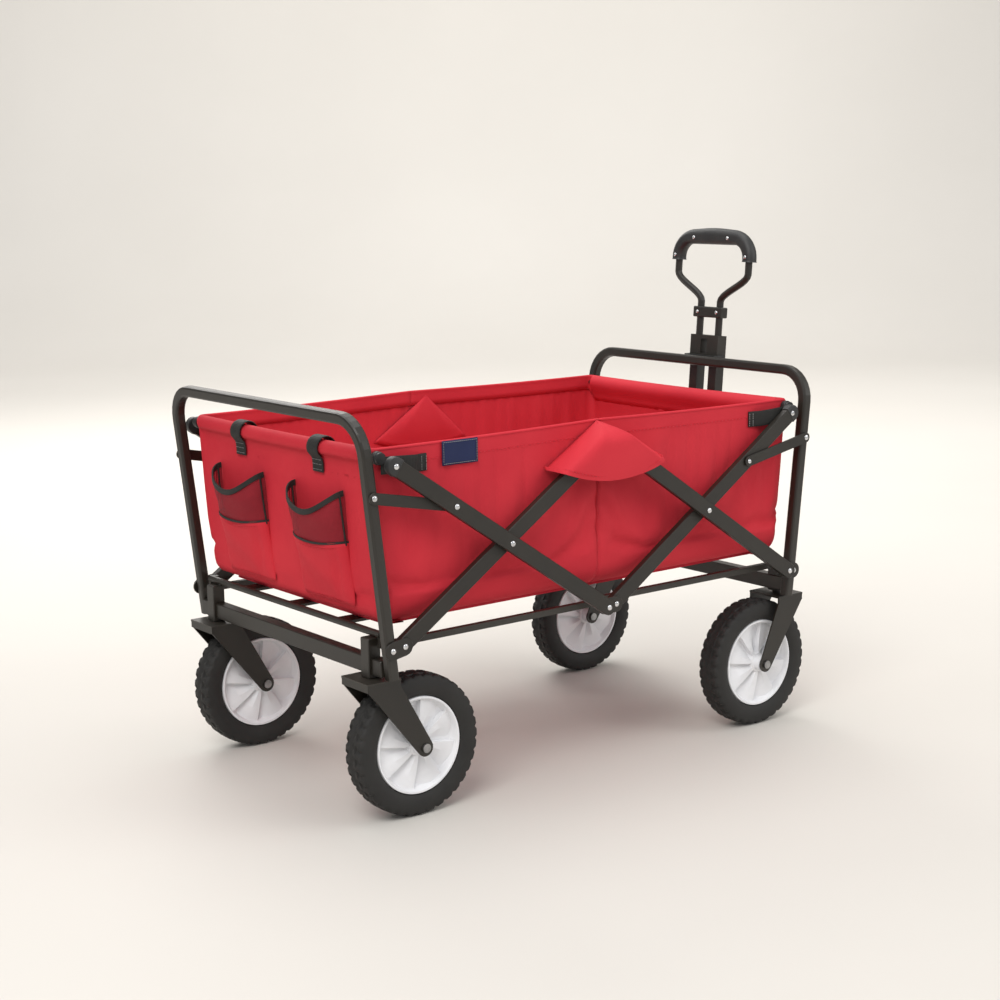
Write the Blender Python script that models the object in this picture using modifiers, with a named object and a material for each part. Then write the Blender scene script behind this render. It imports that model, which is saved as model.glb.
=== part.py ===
"""Folding camp wagon: a fabric tub in a scissor frame on four wheels, with a telescoping pull handle.

Metres, +Z up. +X points to the handle (front) end, +Y to the left side, and z = 0 is the ground.
Every place below is written with x = 0 at the middle of the scissor frame. The empty "wagon" moves
the whole model so that its bounding box is centred on the origin.
"""

import math

import bmesh
import bpy
from mathutils import Matrix, Vector

# Wheels and forks
WHEEL_RADIUS = 0.1015
TYRE_HALF_WIDTH = 0.0210
RIM_RADIUS = 0.0697
WHEEL_Y = 0.2125
REAR_AXLE_X = -0.3230
FRONT_AXLE_X = 0.3476
WHEEL_STEPS = 28
AXLE_RADIUS = 0.0045
AXLE_HOLE_RADIUS = 0.0050
FORK_INNER = 0.0295
FORK_PLATE = 0.0030
CROWN_TOP = 0.2080
CROWN_HALF_LENGTH = 0.0275
CROWN_LIP = 0.0120
FORK_TIP_RADIUS = 0.0125
STEM_RADIUS = 0.0060
STEM_TOP = 0.2330

# End frames
REAR_POST_X = -0.3890
FRONT_POST_X = 0.4020
POST_SIDE = 0.0200
POST_TOP = 0.2645
BEAM_LOW = 0.2140
BEAM_HIGH = 0.2370
BEAM_DEPTH = 0.0180
REAR_BEAM_X = -0.3860
FRONT_BEAM_X = 0.3990
LEG_Y = 0.2535
LEG_SIDE = 0.0160
LEG_ROUND = 0.0035
LEG_X = 0.3870
LEG_SLOPE = 0.1138
LEG_FOOT = 0.2120
LEG_PIN_Z = 0.2535
RAIL_Z = 0.5670
RAIL_BEND = 0.0480

# Scissor linkage: three layers outside the tub
PIVOT_Z = 0.2570
PIVOT_X = 0.3670
HUB_X = 0.0115
ARM_RISE = 0.1190
OVERHANG = 0.2325
BAR_HALF = 0.0115
INNER_BARS = (0.2510, 0.2615)
PLATES = (0.2619, 0.2650)
OUTER_BARS = (0.2654, 0.2755)
LINK_PIN_X = 0.4110
LINK_PIN_Z = 0.4644
LINK_HALF = 0.0080
HUB_HALF = 0.0120
BRACKET_HALF = 0.0125
LINK_AT = 0.1145

# Floor frame
FLOOR_AXIS_X = 0.3850
FLOOR_AXIS_Z = 0.2705
FLOOR_TUBE = 0.0050
SLAT_WIDTH = 0.0300
SLAT_Z = (0.2685, 0.2725)
REAR_SLATS = (-0.1300, 0.0000, 0.1300)
SLAT_SHIFT = 0.0330
REAR_SIDE_BAR = 0.2320
FRONT_SIDE_BAR = 0.2190
SIDE_BAR = 0.0090
SIDE_BAR_Z = 0.2555
LUG_START, LUG_END = -0.0030, 0.0120
LUG_INSET = 0.0033
LUG_HALF = 0.0030

# Fabric tub
CLOTH = 0.0050
TUB_TOP = 0.5260
TUB_SIDE_TOP = 0.5300
TUB_SIDE = 0.2375
TUB_BOTTOM = 0.2810
PAD_Z = (0.2735, 0.2790)
HEM_X = 0.3890
HEM_Z = 0.5135
HEM_RADIUS = 0.0125
HEM_ROD_RADIUS = 0.0040
POCKET_Y = 0.1050
POCKET_HALF = 0.0650
POCKET_DEPTH = 0.0330
POCKET_FOOT_DEPTH = 0.0270
POCKET_LOW = 0.3050
POCKET_HIGH = 0.4600
POCKET_WALL = 0.0025

# Pull handle, in its own leaning frame: s runs up the handle from its pivot
HANDLE_X = 0.4240
HANDLE_Z = 0.2350
HANDLE_LEAN = math.radians(4.6)
TUBE_Y = 0.0225
TUBE_RADIUS = 0.0060
TUBE_FOOT = 0.0850
SOCKET_SIDE = 0.0180
SOCKET_TOP = 0.3730
SOCKET_FOOT = -0.0085
SOCKET_BLOCK = 0.0380
CLAMP_S = (0.4030, 0.4210)
LOOP_NECK = 0.4300
LOOP_WIDE = 0.4780
LOOP_HALF = 0.0830
LOOP_TOP = 0.5360
LOOP_BEND = 0.0330
GRIP_RADIUS = 0.0110
CLIP_THICK = 0.0028

GAP = 0.0003
# Welded pieces end this far inside each other, so that no two faces lie in one plane.
INSET = 0.0004

# The grip's front face and the rear rail's outer face are the ends of the bounding box.
BOX_FRONT = HANDLE_X + LOOP_TOP * math.sin(HANDLE_LEAN) + GRIP_RADIUS
BOX_REAR = LEG_X + LEG_SLOPE * (RAIL_Z + LEG_SIDE / 2 - LEG_PIN_Z) + LEG_SIDE / 2
CENTRE_X = (BOX_REAR - BOX_FRONT) / 2

ARM_RUN = (PIVOT_X - HUB_X) / 2
ARM = math.hypot(ARM_RUN, ARM_RISE)
CROSS_X = (PIVOT_X + HUB_X) / 2
CROSS_Z = PIVOT_Z + ARM_RISE
TOP_X = CROSS_X + OVERHANG * ARM_RUN / ARM
TOP_Z = CROSS_Z + OVERHANG * ARM_RISE / ARM
TUB_END = HEM_X + HEM_RADIUS

PARTS = None
WAGON = None


def clear_scene():
    for obj in list(bpy.data.objects):
        bpy.data.objects.remove(obj, do_unlink=True)


def material(name, colour, roughness, metallic):
    made = bpy.data.materials.new(name)
    made.use_nodes = True
    shader = made.node_tree.nodes["Principled BSDF"]
    shader.inputs["Base Color"].default_value = (*colour, 1.0)
    shader.inputs["Roughness"].default_value = roughness
    shader.inputs["Metallic"].default_value = metallic
    return made


def paint(name):
    return material(name, (0.030, 0.028, 0.025), 0.42, 0.60)


def plastic(name):
    return material(name, (0.020, 0.020, 0.020), 0.50, 0.0)


def rubber(name):
    return material(name, (0.018, 0.017, 0.016), 0.85, 0.0)


def white_plastic(name):
    return material(name, (0.78, 0.78, 0.80), 0.35, 0.0)


def red_cloth(name):
    return material(name, (0.62, 0.035, 0.050), 0.85, 0.0)


def steel(name):
    return material(name, (0.55, 0.55, 0.55), 0.30, 1.0)


def from_bmesh(shape):
    bmesh.ops.recalc_face_normals(shape, faces=shape.faces[:])
    mesh = bpy.data.meshes.new("shape")
    shape.to_mesh(mesh)
    shape.free()
    obj = bpy.data.objects.new("shape", mesh)
    PARTS.objects.link(obj)
    return obj


def evaluated_mesh(obj):
    """The object's shape with its modifiers and curve settings worked out, as one welded mesh in world axes."""
    bpy.context.view_layer.update()
    graph = bpy.context.evaluated_depsgraph_get()
    mesh = bpy.data.meshes.new_from_object(obj.evaluated_get(graph))
    mesh.transform(obj.matrix_world)
    shape = bmesh.new()
    shape.from_mesh(mesh)
    bmesh.ops.remove_doubles(shape, verts=shape.verts[:], dist=1e-6)
    bmesh.ops.recalc_face_normals(shape, faces=shape.faces[:])
    shape.to_mesh(mesh)
    shape.free()
    return mesh


def as_mesh(obj):
    """Replaces a curve, or an object with modifiers, by a plain mesh object in the same place."""
    solid = bpy.data.objects.new("shape", evaluated_mesh(obj))
    PARTS.objects.link(solid)
    bpy.data.objects.remove(obj, do_unlink=True)
    return solid


def combine(operation, base, others):
    for other in others:
        step = base.modifiers.new(operation.lower(), "BOOLEAN")
        step.operation = operation
        step.object = other
    solid = as_mesh(base)
    for other in others:
        bpy.data.objects.remove(other, do_unlink=True)
    return solid


def fuse(base, *others):
    return combine("UNION", base, others)


def cut(base, *others):
    return combine("DIFFERENCE", base, others)


def bevelled(obj, width, segments=2):
    edge = obj.modifiers.new("rounded edges", "BEVEL")
    edge.width = width
    edge.segments = segments
    edge.limit_method = "ANGLE"
    edge.angle_limit = math.radians(40)
    return as_mesh(obj)


def placed(obj, matrix):
    obj.data.transform(matrix)
    return obj


def finish(obj, name, finish_material, origin=(0.0, 0.0, 0.0)):
    """Names a finished piece, gives it its material and puts its origin on its joint's axis."""
    obj.name = name
    obj.data.name = name
    obj.data.materials.clear()
    obj.data.materials.append(finish_material(name + "_finish"))
    obj.data.transform(Matrix.Translation(-Vector(origin)))
    obj.location = origin
    obj.parent = WAGON
    obj.data.shade_smooth()
    obj.data.set_sharp_from_angle(angle=math.radians(35))
    return obj


def box(low, high):
    shape = bmesh.new()
    bmesh.ops.create_cube(shape, size=1.0)
    size = Vector(high) - Vector(low)
    bmesh.ops.scale(shape, vec=size, verts=shape.verts)
    bmesh.ops.translate(shape, vec=(Vector(low) + Vector(high)) / 2, verts=shape.verts)
    return from_bmesh(shape)


def rod(start, end, radius, sides=20):
    run = Vector(end) - Vector(start)
    turn = Vector((0, 0, 1)).rotation_difference(run).to_matrix().to_4x4()
    shape = bmesh.new()
    bmesh.ops.create_cone(
        shape, cap_ends=True, segments=sides, radius1=radius, radius2=radius, depth=run.length
    )
    bmesh.ops.transform(shape, matrix=Matrix.Translation((Vector(start) + Vector(end)) / 2) @ turn, verts=shape.verts)
    return from_bmesh(shape)


def flat_plate(outline, y_low, y_high):
    """A flat piece with this outline in the XZ plane, between two distances along Y."""
    curve = bpy.data.curves.new("outline", "CURVE")
    curve.dimensions = "2D"
    curve.fill_mode = "BOTH"
    curve.extrude = (y_high - y_low) / 2
    spline = curve.splines.new("POLY")
    spline.points.add(len(outline) - 1)
    for point, (x, z) in zip(spline.points, outline):
        point.co = (x, z, 0, 1)
    spline.use_cyclic_u = True
    obj = bpy.data.objects.new("outline", curve)
    PARTS.objects.link(obj)
    obj.rotation_euler = (math.pi / 2, 0, 0)
    obj.location = (0, (y_low + y_high) / 2, 0)
    return as_mesh(obj)


def round_tube(points, radius, sides_quarter=3):
    """A round tube along straight runs between close points."""
    curve = bpy.data.curves.new("tube", "CURVE")
    curve.dimensions = "3D"
    curve.bevel_depth = radius
    curve.bevel_resolution = sides_quarter
    curve.use_fill_caps = True
    spline = curve.splines.new("POLY")
    spline.points.add(len(points) - 1)
    for point, place in zip(spline.points, points):
        point.co = (*place, 1)
    obj = bpy.data.objects.new("tube", curve)
    PARTS.objects.link(obj)
    return as_mesh(obj)


def arc(centre, radius, start, end, count):
    """Points on an arc in a plane; the angles are in degrees."""
    points = []
    for i in range(count + 1):
        angle = math.radians(start + (end - start) * i / count)
        points.append((centre[0] + radius * math.cos(angle), centre[1] + radius * math.sin(angle)))
    return points


def slot_outline(a, b, radius, count=8):
    """The outline of a bar with round ends centred on a and b."""
    heading = math.degrees(math.atan2(b[1] - a[1], b[0] - a[0]))
    return arc(b, radius, heading - 90, heading + 90, count) + arc(a, radius, heading + 90, heading + 270, count)


def turned_ring(profile, steps):
    """A ring about the Y axis. The profile is a closed loop of (radius, distance along Y), outer side first."""
    shape = bmesh.new()
    verts = [shape.verts.new((radius, 0, height)) for radius, height in profile]
    for i, vert in enumerate(verts):
        shape.edges.new((vert, verts[(i + 1) % len(verts)]))
    mesh = bpy.data.meshes.new("profile")
    shape.to_mesh(mesh)
    shape.free()
    obj = bpy.data.objects.new("profile", mesh)
    PARTS.objects.link(obj)
    screw = obj.modifiers.new("turn", "SCREW")
    screw.steps = steps
    screw.render_steps = steps
    screw.use_merge_vertices = True
    screw.merge_threshold = 1e-5
    obj.rotation_euler = (math.pi / 2, 0, 0)
    return as_mesh(obj)


def leg_x(z):
    return LEG_X + LEG_SLOPE * (z - LEG_PIN_Z)


def make_wheel(end, side, axle_x):
    """A rubber tyre on a moulded hub, turning on a plain axle."""
    centre = (axle_x, side * WHEEL_Y, WHEEL_RADIUS)
    where = Matrix.Translation(centre)
    name = f"{end}_{'left' if side > 0 else 'right'}"
    half = TYRE_HALF_WIDTH
    bead = RIM_RADIUS + GAP
    tyre = [
        (WHEEL_RADIUS, 0.55 * half), (WHEEL_RADIUS, -0.55 * half),
        (WHEEL_RADIUS - 0.0050, -0.95 * half), (0.0860, -half), (bead, -0.80 * half),
        (bead, 0.80 * half), (0.0860, half), (WHEEL_RADIUS - 0.0050, 0.95 * half),
    ]
    finish(placed(turned_ring(tyre, WHEEL_STEPS), where), f"tyre_{name}", rubber, centre)
    sleeve = FORK_INNER - 0.0010
    hub = [
        (RIM_RADIUS, 0.0168), (RIM_RADIUS, -0.0168), (0.0640, -0.0168), (0.0600, -0.0070),
        (0.0125, -0.0100), (0.0125, -sleeve), (AXLE_HOLE_RADIUS, -sleeve),
        (AXLE_HOLE_RADIUS, sleeve), (0.0125, sleeve), (0.0125, 0.0100), (0.0600, 0.0070), (0.0640, 0.0168),
    ]
    finish(placed(turned_ring(hub, WHEEL_STEPS), where), f"wheel_hub_{name}", white_plastic, centre)
    outside = FORK_INNER + FORK_PLATE + GAP
    y = centre[1]
    shaft = rod((axle_x, y - outside - 0.0005, WHEEL_RADIUS), (axle_x, y + outside + 0.0005, WHEEL_RADIUS), AXLE_RADIUS, 16)
    heads = [
        rod((axle_x, y + way * outside, WHEEL_RADIUS), (axle_x, y + way * (outside + 0.0030), WHEEL_RADIUS), 0.0065, 16)
        for way in (-1, 1)
    ]
    finish(fuse(shaft, *heads), f"axle_{name}", steel, centre)


def make_fork(name, side, post_x, axle_x, swivels):
    """Two tapering arms below a folded crown. A swivelling fork has a stem that turns in its post."""
    y = side * WHEEL_Y
    outward = math.copysign(1, post_x)
    width = FORK_INNER + FORK_PLATE
    low_x, high_x = post_x - CROWN_HALF_LENGTH, post_x + CROWN_HALF_LENGTH
    crown = box((low_x, y - width, CROWN_TOP - FORK_PLATE), (high_x, y + width, CROWN_TOP))
    lip_x = post_x + outward * (CROWN_HALF_LENGTH - INSET)
    lip_ends = sorted((lip_x, lip_x - outward * FORK_PLATE))
    lip = box(
        (lip_ends[0], y - width + INSET, CROWN_TOP - CROWN_LIP),
        (lip_ends[1], y + width - INSET, CROWN_TOP - INSET),
    )
    heading = math.degrees(math.atan2(WHEEL_RADIUS - CROWN_TOP + CROWN_LIP, axle_x - post_x))
    tip = arc((axle_x, WHEEL_RADIUS), FORK_TIP_RADIUS, heading - 84, heading + 84, 10)
    shoulder = [
        (high_x - 1.6 * INSET, CROWN_TOP - 0.0105), (high_x - 1.6 * INSET, CROWN_TOP - 2 * INSET),
        (low_x + 1.6 * INSET, CROWN_TOP - 2 * INSET), (low_x + 1.6 * INSET, CROWN_TOP - 0.0105),
    ]
    arm_middle = FORK_INNER + FORK_PLATE / 2
    half = FORK_PLATE / 2 - INSET / 2
    arms = [flat_plate(tip + shoulder, y + way * arm_middle - half, y + way * arm_middle + half) for way in (-1, 1)]
    pieces = [lip, *arms]
    if swivels:
        pieces.append(rod((post_x, y, CROWN_TOP - 0.0020), (post_x, y, STEM_TOP), STEM_RADIUS, 20))
    fork = fuse(crown, *pieces)
    hole = rod((axle_x, y - 0.05, WHEEL_RADIUS), (axle_x, y + 0.05, WHEEL_RADIUS), AXLE_HOLE_RADIUS, 16)
    finish(cut(fork, hole), name, paint, (post_x, y, CROWN_TOP))


def make_chassis(name, post_x, beam_x, post_foot, bored):
    """The welded end frame: a cross beam through two square posts, out to the legs."""
    half = POST_SIDE / 2
    reach = LEG_Y - LEG_SIDE / 2 - GAP
    beam = box((beam_x - BEAM_DEPTH / 2, -reach, BEAM_LOW), (beam_x + BEAM_DEPTH / 2, reach, BEAM_HIGH))
    posts = [
        box((post_x - half, side * WHEEL_Y - half, post_foot), (post_x + half, side * WHEEL_Y + half, POST_TOP))
        for side in (-1, 1)
    ]
    frame = fuse(bevelled(beam, 0.0012, 1), *[bevelled(post, 0.0012, 1) for post in posts])
    if bored:
        bores = [
            rod((post_x, side * WHEEL_Y, post_foot - 0.01), (post_x, side * WHEEL_Y, STEM_TOP + 0.004),
                STEM_RADIUS + 0.0005, 20)
            for side in (-1, 1)
        ]
        frame = cut(frame, *bores)
    finish(frame, name, paint)


def make_u_frame(name, way):
    """One bent square tube: two legs that lean outwards and the rail across their tops."""
    slope = math.atan(LEG_SLOPE)
    rise = (RAIL_Z - LEG_FOOT) / math.cos(slope)
    inner = LEG_Y - RAIL_BEND
    path = [(LEG_Y, 0.0)]
    path += arc((inner, rise - RAIL_BEND), RAIL_BEND, 0, 90, 8)
    path += arc((-inner, rise - RAIL_BEND), RAIL_BEND, 90, 180, 8)
    path += [(-LEG_Y, 0.0)]
    half = LEG_SIDE / 2
    core = half - LEG_ROUND
    section = []
    for corner, (sx, sy) in enumerate(((1, 1), (-1, 1), (-1, -1), (1, -1))):
        section += arc((sx * core, sy * core), LEG_ROUND, 90 * corner, 90 * corner + 90, 2)
    profile = bpy.data.curves.new("tube section", "CURVE")
    profile.dimensions = "2D"
    outline = profile.splines.new("POLY")
    outline.points.add(len(section) - 1)
    for point, (x, y) in zip(outline.points, section):
        point.co = (x, y, 0, 1)
    outline.use_cyclic_u = True
    guide = bpy.data.objects.new("tube section", profile)
    PARTS.objects.link(guide)
    curve = bpy.data.curves.new("frame", "CURVE")
    curve.dimensions = "3D"
    curve.bevel_mode = "OBJECT"
    curve.bevel_object = guide
    curve.use_fill_caps = True
    spline = curve.splines.new("POLY")
    spline.points.add(len(path) - 1)
    for point, (x, y) in zip(spline.points, path):
        point.co = (x, y, 0, 1)
    obj = bpy.data.objects.new("frame", curve)
    PARTS.objects.link(obj)
    tube = as_mesh(obj)
    bpy.data.objects.remove(guide, do_unlink=True)
    up_leg = Vector((way * math.sin(slope), 0, math.cos(slope)))
    across = Vector((0, 1, 0))
    facing = across.cross(up_leg)
    turn = Matrix((across, up_leg, facing)).transposed().to_4x4()
    foot = (way * leg_x(LEG_FOOT), 0, LEG_FOOT)
    finish(placed(tube, Matrix.Translation(foot) @ turn), name, paint)


def layer(side, span):
    return (span[0], span[1]) if side > 0 else (-span[1], -span[0])


def make_bar(name, side, span, start, end, axis, radius=BAR_HALF):
    """A flat-sided bar or plate with round ends at two points. It turns about the third."""
    bar = flat_plate(slot_outline(start, end, radius), *layer(side, span))
    bar = bevelled(bar, 0.0006 if span is PLATES else 0.0020, 1)
    middle = side * (span[0] + span[1]) / 2
    finish(bar, name, paint, (axis[0], middle, axis[1]))


def make_scissors(side):
    word = "left" if side > 0 else "right"
    low, high = PIVOT_Z, PIVOT_Z + 2 * ARM_RISE
    rear_foot, front_foot = (-PIVOT_X, low), (PIVOT_X, low)
    rear_low, front_low = (-HUB_X, low), (HUB_X, low)
    rear_high, front_high = (-HUB_X, high), (HUB_X, high)
    rear_top, front_top = (-TOP_X, TOP_Z), (TOP_X, TOP_Z)
    rear_cross, front_cross = (-CROSS_X, CROSS_Z), (CROSS_X, CROSS_Z)
    make_bar(f"rear_inner_bar_{word}", side, INNER_BARS, rear_foot, rear_high, rear_foot)
    make_bar(f"rear_outer_bar_{word}", side, OUTER_BARS, rear_low, rear_top, rear_cross)
    make_bar(f"front_inner_bar_{word}", side, INNER_BARS, front_low, front_top, front_low)
    make_bar(f"front_outer_bar_{word}", side, OUTER_BARS, front_foot, front_high, front_cross)
    make_bar(f"bottom_hub_{word}", side, PLATES, rear_low, front_low, rear_low, HUB_HALF)
    make_bar(f"top_hub_{word}", side, PLATES, rear_high, front_high, rear_high, HUB_HALF)
    along = (ARM + LINK_AT) / ARM
    for end, way in (("rear", -1), ("front", 1)):
        pin = (way * LINK_PIN_X, LINK_PIN_Z)
        meet = (way * (HUB_X + along * ARM_RUN), PIVOT_Z + along * ARM_RISE)
        make_bar(f"{end}_link_{word}", side, PLATES, pin, meet, pin, LINK_HALF)
        leg = (way * LEG_X, LEG_PIN_Z)
        make_bar(f"{end}_bracket_{word}", side, PLATES, leg, (way * PIVOT_X, PIVOT_Z), leg, BRACKET_HALF)


def make_floor_frame(name, way, slats, side_bar_y):
    """Half of the floor frame: a cross tube in the post tops with slats and two side bars to the middle."""
    y_end = side_bar_y + LUG_HALF / 2
    axis_x = way * FLOOR_AXIS_X
    tube = rod((axis_x, -y_end, FLOOR_AXIS_Z), (axis_x, y_end, FLOOR_AXIS_Z), FLOOR_TUBE, 16)
    ends = sorted((way * 0.0040, way * FLOOR_AXIS_X))
    bars = [box((ends[0], y - SLAT_WIDTH / 2, SLAT_Z[0]), (ends[1], y + SLAT_WIDTH / 2, SLAT_Z[1])) for y in slats]
    half = SIDE_BAR / 2
    for side in (-1, 1):
        y = side * side_bar_y
        bars.append(box((ends[0], y - half, SIDE_BAR_Z - half), (ends[1], y + half, SIDE_BAR_Z + half)))
        inward = sorted((axis_x - way * LUG_START, axis_x - way * LUG_END))
        across = (y - LUG_HALF, y + LUG_HALF)
        low, high = SIDE_BAR_Z - LUG_INSET, FLOOR_AXIS_Z + LUG_INSET
        bars.append(box((inward[0], across[0], low), (inward[1], across[1], high)))
    finish(fuse(tube, *bars), name, paint, (axis_x, 0, FLOOR_AXIS_Z))


def make_end_panel(name, rod_name, way):
    """An end wall of the tub, its hem rolled round a rod, and the rod itself."""
    pivot = (way * TOP_X, 0, TOP_Z)
    y = TUB_SIDE - CLOTH - 2 * GAP
    slope = (TUB_END - 0.0015 - 0.3780) / (HEM_Z - TUB_BOTTOM)
    inner_low = 0.3780 - CLOTH
    outline = [(0.3780, TUB_BOTTOM), (TUB_END - 0.0015, HEM_Z - 0.004)]
    outline += arc((HEM_X, HEM_Z), HEM_RADIUS, 0, 225, 10)
    outline += [(inner_low + slope * (HEM_Z - 0.020 - TUB_BOTTOM), HEM_Z - 0.020), (inner_low, TUB_BOTTOM)]
    panel = flat_plate([(way * x, z) for x, z in outline], -y, y)
    bore = rod((way * HEM_X, -0.3, HEM_Z), (way * HEM_X, 0.3, HEM_Z), HEM_ROD_RADIUS + 0.0006, 12)
    finish(cut(panel, bore), name, red_cloth, pivot)
    reach = TUB_SIDE - 0.001
    finish(rod((way * HEM_X, -reach, HEM_Z), (way * HEM_X, reach, HEM_Z), HEM_ROD_RADIUS, 12), rod_name, paint, pivot)


def make_side_panel(name, way, side):
    """A quarter of the tub's side wall, from an end of the wagon to the middle."""
    outline = [
        (way * GAP, TUB_BOTTOM + 0.0005), (way * GAP, TUB_SIDE_TOP),
        (way * (HEM_X - 0.020), TUB_TOP), (way * (HEM_X - 0.016), HEM_Z - 0.020), (way * 0.3720, TUB_BOTTOM + 0.0005),
    ]
    panel = flat_plate(outline, *layer(side, (TUB_SIDE - CLOTH, TUB_SIDE)))
    finish(panel, name, red_cloth, (way * TOP_X, side * TUB_SIDE, TOP_Z))


def make_floor_pad(name, way):
    """Half of the padded floor board inside the tub."""
    y = TUB_SIDE - CLOTH - 0.006
    low, high = sorted((way * 0.0030, way * 0.3700))
    pad = box((low, -y, PAD_Z[0]), (high, y, PAD_Z[1]))
    finish(pad, name, red_cloth, (way * FLOOR_AXIS_X, 0, FLOOR_AXIS_Z))


def make_pocket(name, side):
    """A drink pocket on the rear wall: an open pouch whose rim stands out."""
    lean = math.atan((TUB_END - 0.0015 - 0.3780) / (HEM_Z - TUB_BOTTOM))
    foot = (-(0.3780 + math.tan(lean) * (POCKET_LOW - TUB_BOTTOM) + 0.0012), side * POCKET_Y, POCKET_LOW)
    height = (POCKET_HIGH - POCKET_LOW) / math.cos(lean)
    outline = [(0, 0), (-POCKET_FOOT_DEPTH, 0), (-POCKET_DEPTH, height), (0, height)]
    pouch = flat_plate(outline, -POCKET_HALF, POCKET_HALF)
    wall = POCKET_WALL
    hollow_outline = [
        (-wall, wall), (wall - POCKET_FOOT_DEPTH, wall),
        (wall - POCKET_DEPTH, height + 0.01), (-wall, height + 0.01),
    ]
    hollow = flat_plate(hollow_outline, -POCKET_HALF + wall, POCKET_HALF - wall)
    pouch = cut(pouch, hollow)
    turn = Matrix.Rotation(-lean, 4, "Y")
    finish(placed(pouch, Matrix.Translation(foot) @ turn), name, red_cloth, (-TOP_X, side * POCKET_Y, TOP_Z))


def handle_frame():
    """From the handle's own axes (s along local Z) to the wagon's, about its pivot."""
    return Matrix.Translation((HANDLE_X, 0, HANDLE_Z)) @ Matrix.Rotation(HANDLE_LEAN, 4, "Y")


def loop_path():
    """The bent handle tube: up one leg, round the loop and down the other leg, as (y, s)."""
    half = []
    steps = 10
    half.append((TUBE_Y, TUBE_FOOT))
    half.append((TUBE_Y, LOOP_NECK - 0.010))
    for i in range(steps + 1):
        part = i / steps
        ease = part * part * (3 - 2 * part)
        half.append((TUBE_Y + (LOOP_HALF - TUBE_Y) * ease, LOOP_NECK + (LOOP_WIDE - LOOP_NECK) * part))
    half += arc((LOOP_HALF - LOOP_BEND, LOOP_TOP - LOOP_BEND), LOOP_BEND, 0, 90, 7)
    return [(y, s) for y, s in half] + [(-y, s) for y, s in reversed(half)]


def make_handle():
    frame = handle_frame()
    origin = (HANDLE_X, 0, HANDLE_Z)
    half = SOCKET_SIDE / 2

    tubes = [
        box((-half, side * TUBE_Y - half, SOCKET_FOOT), (half, side * TUBE_Y + half, SOCKET_TOP)) for side in (-1, 1)
    ]
    wide = TUBE_Y + half + 0.0010
    deep = half + 0.0012
    top_block = box((-deep, -wide, SOCKET_TOP - SOCKET_BLOCK), (deep, wide, SOCKET_TOP + 0.0005))
    low_block = box((-half + 0.001, -TUBE_Y, 0.015), (half - 0.001, TUBE_Y, 0.040))
    outer = fuse(tubes[0], tubes[1], top_block, low_block)
    window = box((-0.03, -0.0075, SOCKET_TOP - 0.0300), (0.03, 0.0075, SOCKET_TOP - 0.0060))
    bores = [
        rod((0, side * TUBE_Y, TUBE_FOOT - 0.006), (0, side * TUBE_Y, SOCKET_TOP + 0.01), TUBE_RADIUS + 0.0006, 20)
        for side in (-1, 1)
    ]
    pin_hole = rod((0, -0.05, 0), (0, 0.05, 0), 0.0046, 16)
    outer = cut(outer, window, *bores, pin_hole)
    finish(placed(outer, frame), "handle_outer_tube", paint, origin)

    path = [(0.0, y, s) for y, s in loop_path()]
    loop = round_tube(path, TUBE_RADIUS)
    finish(placed(loop, frame), "handle_loop_tube", paint, origin)

    top = [place for place in path if place[2] > LOOP_WIDE + 0.005]
    ends = [(0.0, LOOP_HALF, LOOP_WIDE + 0.024), (0.0, -LOOP_HALF, LOOP_WIDE + 0.024)]
    sleeve_path = [ends[0], *[p for p in top if p[2] >= ends[0][2]], ends[1]]
    sleeve = round_tube(sleeve_path, GRIP_RADIUS)
    long_path = [(0.0, LOOP_HALF, LOOP_WIDE + 0.010), *sleeve_path[1:-1], (0.0, -LOOP_HALF, LOOP_WIDE + 0.010)]
    core = round_tube(long_path, TUBE_RADIUS + 0.0005)
    finish(placed(cut(sleeve, core), frame), "handle_grip", plastic, origin)

    clamp = box((-0.0085, -TUBE_Y - 0.0105, CLAMP_S[0]), (0.0085, TUBE_Y + 0.0105, CLAMP_S[1]))
    holes = [
        rod((0, side * TUBE_Y, CLAMP_S[0] - 0.01), (0, side * TUBE_Y, CLAMP_S[1] + 0.01), TUBE_RADIUS + 0.0004, 20)
        for side in (-1, 1)
    ]
    finish(placed(cut(bevelled(clamp, 0.0020), *holes), frame), "handle_clamp", paint, origin)


def make_handle_mounts():
    """The pivot bracket on the front beam, with its pin, and the clip that holds the handle upright."""
    face = FRONT_BEAM_X + BEAM_DEPTH / 2 + GAP
    ear = TUBE_Y + SOCKET_SIDE / 2 + 0.0015
    back = box((face, -ear - 0.003, BEAM_LOW), (face + 0.0025, ear + 0.003, HANDLE_Z + 0.010))
    ears = [
        box((face, min(side * ear, side * (ear + 0.003)), HANDLE_Z - 0.010),
            (HANDLE_X + 0.010, max(side * ear, side * (ear + 0.003)), HANDLE_Z + 0.010))
        for side in (-1, 1)
    ]
    pin = rod((HANDLE_X, -ear - 0.0045, HANDLE_Z), (HANDLE_X, ear + 0.0045, HANDLE_Z), 0.0040, 16)
    finish(fuse(back, *ears, pin), "handle_pivot_bracket", paint)

    rail_face = leg_x(RAIL_Z) + LEG_SIDE / 2 + 0.0008
    tube_x = HANDLE_X + (RAIL_Z - HANDLE_Z) * math.tan(HANDLE_LEAN)
    finger = TUBE_Y + SOCKET_SIDE / 2 + 0.0012
    base = box((rail_face, -finger - CLIP_THICK, RAIL_Z - 0.0095), (rail_face + CLIP_THICK, finger + CLIP_THICK, RAIL_Z + 0.0085))
    fingers = [
        box((rail_face, min(side * finger, side * (finger + CLIP_THICK)), RAIL_Z - 0.0095),
            (tube_x + 0.004, max(side * finger, side * (finger + CLIP_THICK)), RAIL_Z + 0.0085))
        for side in (-1, 1)
    ]
    finish(fuse(base, *fingers), "handle_clip", plastic)


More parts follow.
